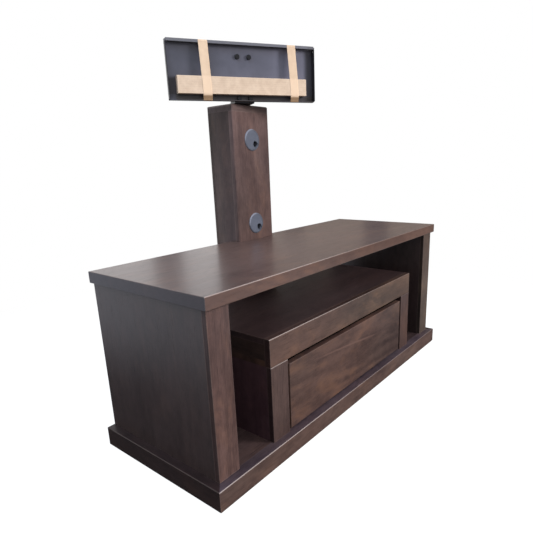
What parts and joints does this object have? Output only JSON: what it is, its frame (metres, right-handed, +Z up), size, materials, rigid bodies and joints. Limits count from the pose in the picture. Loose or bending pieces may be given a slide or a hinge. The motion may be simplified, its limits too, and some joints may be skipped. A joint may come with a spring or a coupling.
{
  "type": "tv stand",
  "caption": "Low wooden media stand with a drawer unit nested under its top, open bays, and a rear column that carries a swivelling screen bracket.",
  "frame": {"origin": "on the floor, on the centre line, midway between the front and the back of the plinth", "axes": "+X to the right as seen from the front, +Y to the rear, +Z up"},
  "size_m": [1.242, 0.533, 1.1125],
  "materials": {
    "stained_wood": "dark espresso stain, satin varnish",
    "stained_front": "dark brown stain with soft figure, satin varnish",
    "core_board": "raw board",
    "drawer_board": "dark stain, matt",
    "dowel_wood": "raw beech",
    "zinc_steel": "zinc plated",
    "painted_steel": "dark satin powder coat",
    "black_plastic": "fine moulded texture",
    "nylon": "natural nylon",
    "cardboard": "plain board, matt",
    "tape": "tan paper tape"
  },
  "bodies": {
    "cabinet": {"plinth_front_rail": "stained_front", "plinth_left_rail": "stained_wood", "plinth_right_rail": "stained_wood", "plinth_rear_rails": "stained_wood", "plinth_bearers": "core_board", "base_panel": "stained_wood", "left_side_outer_board": "stained_wood", "left_side_inner_board": "stained_wood", "left_side_edging": "stained_front", "left_side_core_rails": "core_board", "right_side_outer_board": "stained_wood", "right_side_inner_board": "stained_wood", "right_side_edging": "stained_front", "right_side_core_rails": "core_board", "top_panel": "stained_wood", "dowels": "dowel_wood", "inner_top_board": "stained_wood", "inner_front_rail": "stained_front", "inner_under_board": "stained_wood", "left_leg_outer_board": "stained_wood", "left_leg_inner_board": "stained_wood", "left_leg_stile": "stained_front", "right_leg_outer_board": "stained_wood", "right_leg_inner_board": "stained_wood", "right_leg_stile": "stained_front", "inner_core_rails": "core_board", "inner_back_panel": "stained_wood", "slide_cabinet_members": "zinc_steel", "slide_screws": "zinc_steel", "column_front_board": "stained_front", "column_left_board": "stained_wood", "column_right_board": "stained_wood", "column_rear_board": "stained_wood", "column_cap": "stained_wood", "column_screws": "zinc_steel", "grommet_liners": "black_plastic", "swivel_base_plate": "painted_steel", "swivel_plate_screws": "zinc_steel", "friction_washer": "nylon", "pivot_bolt": "zinc_steel", "pivot_washers": "zinc_steel", "pivot_nut": "zinc_steel"},
    "drawer": {"drawer_front": "stained_front", "drawer_box_front": "drawer_board", "drawer_left_side": "drawer_board", "drawer_right_side": "drawer_board", "drawer_back": "drawer_board", "drawer_bottom": "drawer_board", "drawer_screws": "zinc_steel", "slide_drawer_members": "zinc_steel"},
    "slide_middles": {"slide_middle_members": "zinc_steel"},
    "upper_cap": {"upper_grommet_cap": "black_plastic"},
    "lower_cap": {"lower_grommet_cap": "black_plastic"},
    "bracket": {"swivel_arm": "painted_steel", "bracket_pan": "painted_steel", "bracket_bolts": "painted_steel", "bracket_nuts": "zinc_steel", "carton": "cardboard", "left_tape": "tape", "right_tape": "tape"}
  },
  "joints": [
    {"name": "drawer_slide", "type": "slide", "parent": "cabinet", "child": "drawer", "axis": [0, -1, 0], "range_m": [0, 0.28]},
    {"name": "middle_slide", "type": "slide", "parent": "cabinet", "child": "slide_middles", "axis": [0, -1, 0], "range_m": [0, 0.14]},
    {"name": "bracket_swivel", "type": "hinge", "parent": "cabinet", "child": "bracket", "pos_m": [0, 0.2495, 0.944], "axis": [0, 0, 1], "range_deg": [-15, 75]},
    {"name": "upper_cap_turn", "type": "hinge", "parent": "cabinet", "child": "upper_cap", "pos_m": [0, 0.1925, 0.831], "axis": [0, -1, 0], "continuous": true},
    {"name": "lower_cap_turn", "type": "hinge", "parent": "cabinet", "child": "lower_cap", "pos_m": [0, 0.1925, 0.555], "axis": [0, -1, 0], "continuous": true}
  ],
  "couplings": [
    {"joint": "middle_slide", "follows": "drawer_slide", "ratio": 0.5}
  ]
}
